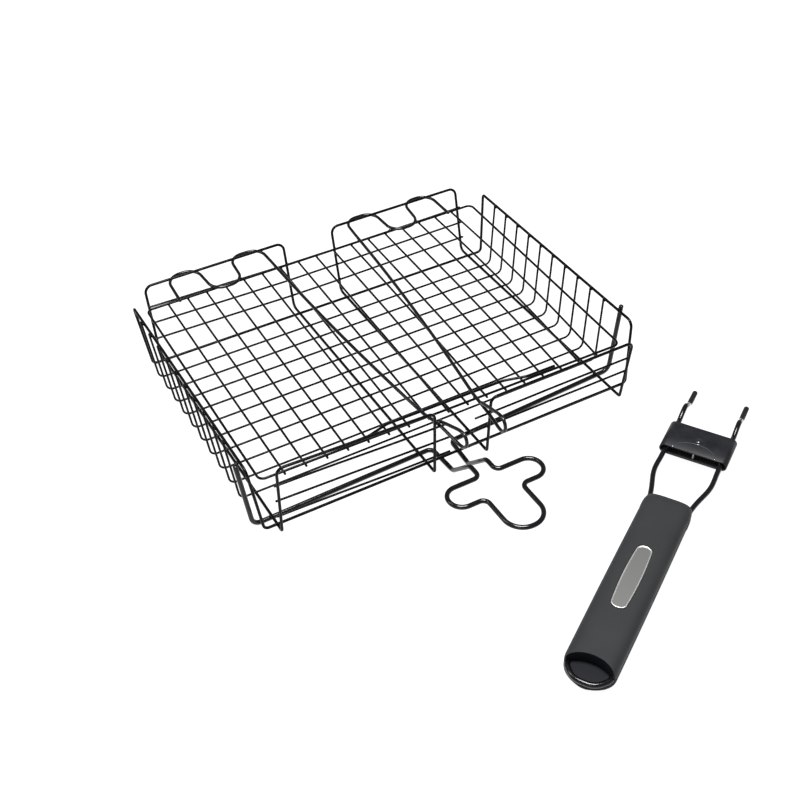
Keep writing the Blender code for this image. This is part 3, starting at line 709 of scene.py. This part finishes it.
bm = bmesh.new()
half = COLLAR_L / 2
rings = []
for w, t, y in ((COLLAR_W - 2 * SHEET, COLLAR_T - 2 * SHEET, -half), (COLLAR_W - 0.5, COLLAR_T - 0.5, -half), (COLLAR_W, COLLAR_T, -half + 0.3),
                (COLLAR_W, COLLAR_T, half - 0.3), (COLLAR_W - 0.5, COLLAR_T - 0.5, half), (COLLAR_W - 2 * SHEET, COLLAR_T - 2 * SHEET, half)):
    rings.append([bm.verts.new((x * MM, y * MM, (WIRE_H + z) * MM)) for x, z in stadium(w, t)])
n = len(rings[0])
for i in range(len(rings)):
    r, q = rings[i], rings[(i + 1) % len(rings)]
    for k in range(n):
        f = bm.faces.new((r[k], r[(k + 1) % n], q[(k + 1) % n], q[k]))
        f.material_index = 1 if i == len(rings) - 1 else 0
finish_mesh(bm, "slide_collar_look", [SHEET_MAT, DARK], COLLAR, "collar", ["slide_collar"], sharp=40)

# the pressed crescent on the collar's top sheet, coloured lighter than the sheet as a painted highlight along its
# edge
top_z = WIRE_H + COLLAR_T / 2
bm = bmesh.new()
pts = []
for q in range(25):
    t = -1 + 2 * q / 24
    pts.append(Vector((t * 17.5, -half + 1.0 + 10.6 * math.sqrt(max(0.0, 1 - t * t)), top_z - 0.22)))
add_tube(bm, pts, 0.42, sides=10)
for s in (-1, 1):
    add_blob(bm, (s * 18.0, -half + 0.7, top_z - 0.1), 0.55, 1, (1.5, 0.7, 0.5))
# painted highlight: the crescent's lighter colour stands in for the light caught by its pressed edge
CRESCENT_PAINTED_HIGHLIGHT, cnt, cb = principled("crescent_edge_painted_highlight", (0.026, 0.027, 0.030), 0.42)
cb.inputs["Specular IOR Level"].default_value = 0.20
finish_mesh(bm, "collar_crescent", [CRESCENT_PAINTED_HIGHLIGHT, BARE], COLLAR, "collar", [])

ht = COLLAR_T / 2


def turned(name, profile, mat, nodes, steps=40):
    bm = bmesh.new()
    rings = []
    for r, z in profile:
        if r < 0.01:
            rings.append([bm.verts.new((0, RIVET_Y * MM, (WIRE_H + z) * MM))])
        else:
            rings.append([bm.verts.new((r * math.cos(2 * math.pi * k / steps) * MM, (RIVET_Y + r * math.sin(2 * math.pi * k / steps)) * MM, (WIRE_H + z) * MM)) for k in range(steps)])
    for a_, b_ in zip(rings, rings[1:]):
        for k in range(steps):
            if len(a_) == 1:
                bm.faces.new((a_[0], b_[k], b_[(k + 1) % steps]))
            elif len(b_) == 1:
                bm.faces.new((a_[k], a_[(k + 1) % steps], b_[0]))
            else:
                bm.faces.new((a_[k], a_[(k + 1) % steps], b_[(k + 1) % steps], b_[k]))
    if len(rings[0]) > 1:
        for k in range(steps):
            bm.faces.new((rings[-1][k], rings[-1][(k + 1) % steps], rings[0][(k + 1) % steps], rings[0][k]))
    finish_mesh(bm, name + "_look", [mat], COLLAR, "collar", nodes, sharp=45)


turned("collar_rivet", [(0, ht + 2.15), (0.9, ht + 2.05), (1.8, ht + 1.8), (2.7, ht + 1.35), (3.3, ht + 0.85), (3.55, ht + 0.35), (4.2, ht + 0.18),
                        (4.3, ht + 0.02), (1.8, ht + 0.02), (1.8, -ht - GAP), (3.6, -ht - GAP), (3.2, -ht - 1.2), (0, -ht - 1.4)],
       RIVET_MAT, ["collar_rivet"])
hi_s = ht - SHEET - GAP
SPACER, _a, _b = principled("spacer", (0.22, 0.22, 0.23), 0.35, 0.8)
turned("collar_spacer", [(3.1, hi_s), (3.1, -hi_s), (2.1, -hi_s), (2.1, hi_s)], SPACER, ["collar_spacer"])

# the rib seen in the collar's mouth
bm = bmesh.new()
g = bmesh.ops.create_cube(bm, size=1.0, matrix=Matrix.Translation(Vector((0.0, (-half + 3.4) * MM, WIRE_H * MM))) @ Matrix.Diagonal((1.3 * MM, 3.6 * MM, (COLLAR_T - 2 * SHEET - 0.1) * MM, 1)))
bmesh.ops.bevel(bm, geom=list(bm.edges), offset=0.25 * MM, segments=2, affect="EDGES")
finish_mesh(bm, "collar_rib", [SPACER], COLLAR, "collar", [], sharp=40)

# ------------------------------------------------------------ floor, light, camera
FLOOR, fnt, fb = principled("floor", (0.12, 0.12, 0.12), 0.9)
fb.inputs["Emission Color"].default_value = (1.0, 1.0, 1.0, 1.0)
fb.inputs["Emission Strength"].default_value = 0.96
fb.inputs["Specular IOR Level"].default_value = 0.0
me = bpy.data.meshes.new("floor")
S = 60.0
me.from_pydata([(-S, -S, -0.0002), (S, -S, -0.0002), (S, S, -0.0002), (-S, S, -0.0002)], [], [(0, 1, 2, 3)])
me.materials.append(FLOOR)
floor = bpy.data.objects.new("floor", me)
bpy.context.scene.collection.objects.link(floor)

world = bpy.data.worlds.new("studio")
world.use_nodes = True
bg = world.node_tree.nodes["Background"]
bg.inputs["Color"].default_value = (1.0, 1.0, 1.0, 1.0)
bg.inputs["Strength"].default_value = 0.30
bpy.context.scene.world = world


def area(name, loc, target, size, power, size_y=None):
    li = bpy.data.lights.new(name, "AREA")
    li.energy = power
    li.size = size
    if size_y:
        li.shape = "RECTANGLE"
        li.size_y = size_y
    ob = bpy.data.objects.new(name, li)
    ob.location = loc
    ob.rotation_mode = "QUATERNION"
    ob.rotation_quaternion = (Vector(target) - Vector(loc)).to_track_quat("-Z", "Y")
    bpy.context.scene.collection.objects.link(ob)
    return ob


area("overhead", (-0.08, -0.16, 1.70), (0.0, 0.0, 0.0), 0.75, 64.0, 0.60)
area("key", (-0.95, 0.55, 1.15), (0.0, 0.0, 0.0), 0.30, 7.0, 1.0)
area("front", (-0.9, -1.0, 1.3), (0.0, 0.0, 0.0), 0.35, 3.0, 0.8)

cam_data = bpy.data.cameras.new("camera")
cam_data.sensor_width = 36.0
cam_data.lens = 1281.94 / 800.0 * 36.0
cam_data.clip_start, cam_data.clip_end = 0.05, 200.0
cam = bpy.data.objects.new("camera", cam_data)
RIGHT, UP, BACK = (0.8704681, -0.4921527, -0.0084285), (0.3336116, 0.5772938, 0.7452752), (-0.3619235, -0.6515501, 0.6667037)
C = Vector((-419.468 - ORIGIN_X, -780.808 - ORIGIN_Y, 766.727 + TRAY_LIFT - 6.74)) * MM
cam.matrix_world = Matrix(((RIGHT[0], UP[0], BACK[0], C.x), (RIGHT[1], UP[1], BACK[1], C.y), (RIGHT[2], UP[2], BACK[2], C.z), (0, 0, 0, 1)))
bpy.context.scene.collection.objects.link(cam)
bpy.context.scene.camera = cam
bpy.context.scene.view_settings.view_transform = "Standard"

bpy.context.view_layer.update()
